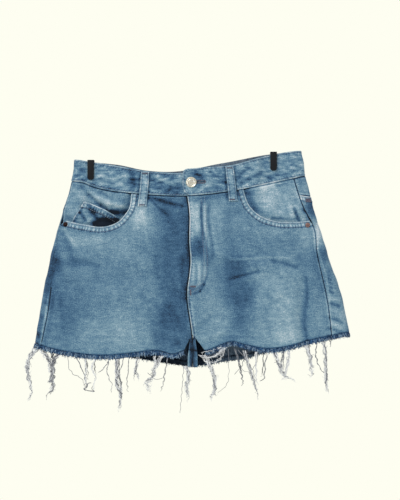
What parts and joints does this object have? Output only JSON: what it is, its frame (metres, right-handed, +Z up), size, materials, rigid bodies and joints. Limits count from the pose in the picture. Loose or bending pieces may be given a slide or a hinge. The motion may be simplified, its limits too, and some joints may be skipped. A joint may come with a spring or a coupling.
{
  "type": "denim shorts on two hanger clips",
  "caption": "Cut-off denim shorts with a frayed hem, hung by the waistband from two plain hanger clips.",
  "frame": {"origin": "halfway between the tops of the two hanger clips, where the shorts are held up", "axes": "+Z up, +X towards the wearer's left side, the front of the shorts towards -Y"},
  "size_m": [0.5154, 0.0579, 0.4175],
  "materials": {
    "denim": "washed light-blue denim twill, matt",
    "frayed": "frayed raw denim edge with loose pale threads",
    "cotton": "plain cotton pocketing, matt",
    "button": "pale worn brass, satin",
    "rivet": "coppered brass, satin",
    "clip": "black, satin"
  },
  "bodies": {
    "root": {"front_panel_right": "denim", "front_panel_left": "denim", "back_panel_right": "denim", "back_panel_left": "denim", "yoke_right": "denim", "yoke_left": "denim", "waistband": "denim", "pocket_facing_right": "denim", "pocket_facing_left": "denim", "coin_pocket": "denim", "pocket_bag_right": "cotton", "pocket_bag_left": "cotton", "back_pocket_right": "denim", "back_pocket_left": "denim", "belt_loop_front_right": "denim", "belt_loop_front_left": "denim", "belt_loop_back_left": "denim", "belt_loop_back_middle": "denim", "belt_loop_back_right": "denim", "frayed_hem_front_right": "frayed", "frayed_hem_front_left": "frayed", "frayed_hem_back_right": "frayed", "frayed_hem_back_left": "frayed", "waist_button": "button", "rivet_right": "rivet", "rivet_left": "rivet", "hanger_clip_right": "clip", "hanger_clip_left": "clip"}
  },
  "joints": []
}
